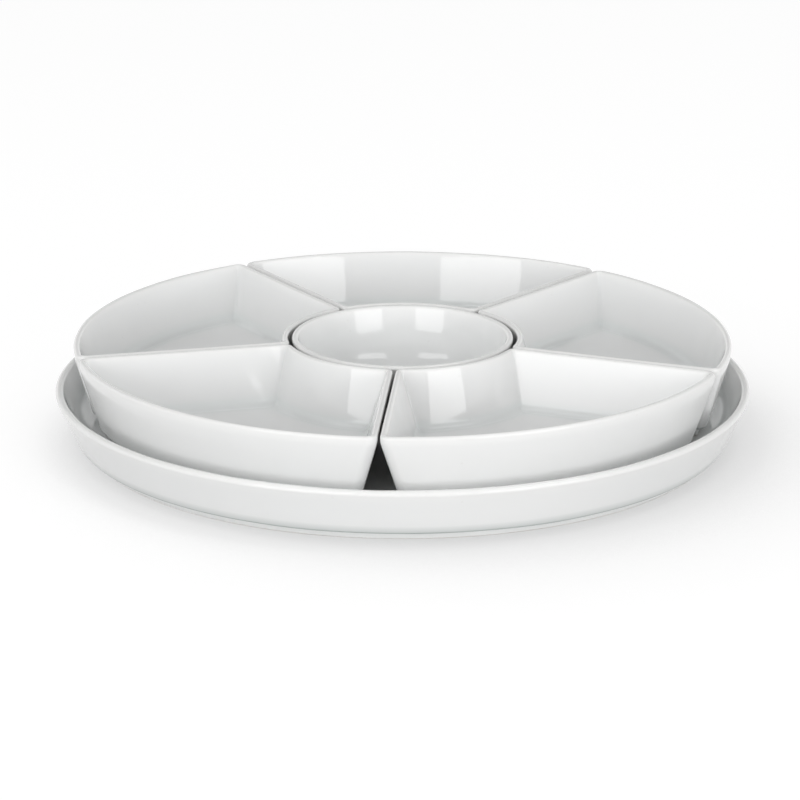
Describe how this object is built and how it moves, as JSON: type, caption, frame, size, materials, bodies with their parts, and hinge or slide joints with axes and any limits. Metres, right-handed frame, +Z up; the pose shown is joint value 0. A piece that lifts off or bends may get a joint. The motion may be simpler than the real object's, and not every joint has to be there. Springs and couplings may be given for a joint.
{
  "type": "divided serving bowl",
  "caption": "Round white porcelain serving set: wedge-shaped dishes ring a small centre bowl on a rimmed tray, and each one lifts out.",
  "frame": {"origin": "middle of the tray's foot ring, on the table", "axes": "+Z up, the front towards -Y and the tray's left as seen from the front towards -X"},
  "size_m": [0.33, 0.33, 0.0479],
  "materials": {
    "white_glaze": "glossy clear glaze over white porcelain"
  },
  "bodies": {
    "tray": {"serving_tray": "white_glaze"},
    "bowl": {"centre_bowl": "white_glaze"},
    "back": {"back_dish": "white_glaze"},
    "back_left": {"back_left_dish": "white_glaze"},
    "front_left": {"front_left_dish": "white_glaze"},
    "front_right": {"front_right_dish": "white_glaze"},
    "back_right": {"back_right_dish": "white_glaze"}
  },
  "joints": [
    {"name": "lift_bowl", "type": "slide", "parent": "tray", "child": "bowl", "axis": [0, 0, 1], "range_m": [0, 0.06]},
    {"name": "lift_back", "type": "slide", "parent": "tray", "child": "back", "axis": [0, 0, 1], "range_m": [0, 0.06]},
    {"name": "lift_back_left", "type": "slide", "parent": "tray", "child": "back_left", "axis": [0, 0, 1], "range_m": [0, 0.06]},
    {"name": "lift_front_left", "type": "slide", "parent": "tray", "child": "front_left", "axis": [0, 0, 1], "range_m": [0, 0.06]},
    {"name": "lift_front_right", "type": "slide", "parent": "tray", "child": "front_right", "axis": [0, 0, 1], "range_m": [0, 0.06]},
    {"name": "lift_back_right", "type": "slide", "parent": "tray", "child": "back_right", "axis": [0, 0, 1], "range_m": [0, 0.06]}
  ]
}
